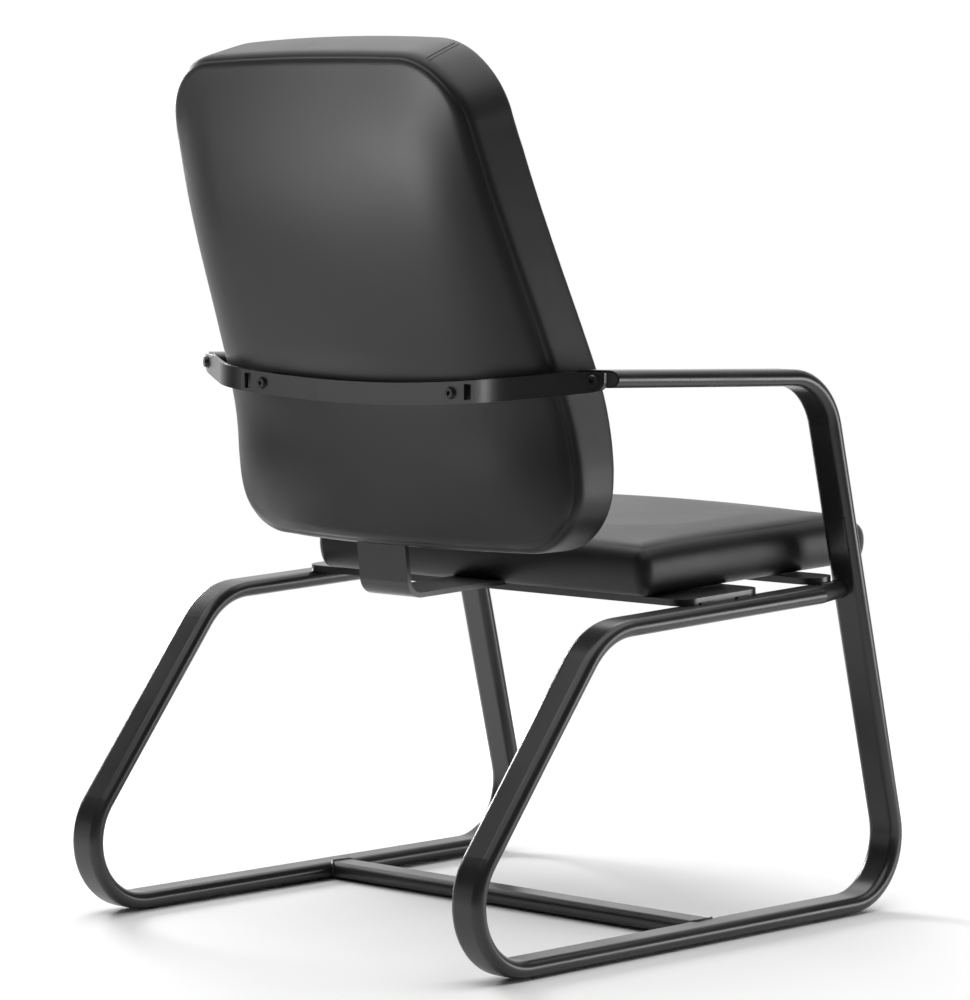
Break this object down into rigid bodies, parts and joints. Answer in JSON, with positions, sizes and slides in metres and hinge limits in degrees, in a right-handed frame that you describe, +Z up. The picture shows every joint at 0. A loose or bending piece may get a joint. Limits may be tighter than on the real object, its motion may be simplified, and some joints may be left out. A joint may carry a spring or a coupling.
{
  "type": "sled-base visitor armchair",
  "caption": "Wide fixed office visitor armchair: black upholstered seat and tall curved back on a sled frame of bent oval tube, its arm ends joined by a strap behind the back.",
  "frame": {"origin": "on the floor under the middle of the chair's box", "axes": "+Z up, the sitter faces -Y, +X to the sitter's left"},
  "size_m": [0.685, 0.783, 1.0539],
  "materials": {
    "frame_paint": "satin black powder coat",
    "upholstery": "smooth black synthetic leather",
    "foam": "open-cell seat foam",
    "plywood": "raw moulded plywood",
    "hard_plastic": "matte black",
    "black_screws": "black oxide",
    "zinc_steel": "zinc plated",
    "base_cloth": "black non-woven cloth"
  },
  "bodies": {
    "root": {"side_frame_left": "frame_paint", "side_frame_right": "frame_paint", "floor_crossbar": "frame_paint", "runner_glides": "hard_plastic", "rear_cross_plate": "frame_paint", "front_cross_plate": "frame_paint", "back_bar": "frame_paint", "arm_strap": "frame_paint", "arm_end_plugs": "hard_plastic", "strap_end_screws": "black_screws", "strap_back_screws": "black_screws", "back_cover_rear": "upholstery", "back_cover_band": "upholstery", "back_cover_front": "upholstery", "back_foam_rear": "foam", "back_foam_front": "foam", "back_board": "plywood", "back_bolts": "zinc_steel", "back_tee_nuts": "zinc_steel", "seat_board": "plywood", "seat_foam": "foam", "seat_cover": "upholstery", "seat_base_cloth": "base_cloth", "seat_spacers": "hard_plastic", "seat_bolts": "zinc_steel", "bar_bolts": "zinc_steel", "plate_washers": "zinc_steel", "seat_tee_nuts": "zinc_steel"}
  },
  "joints": []
}
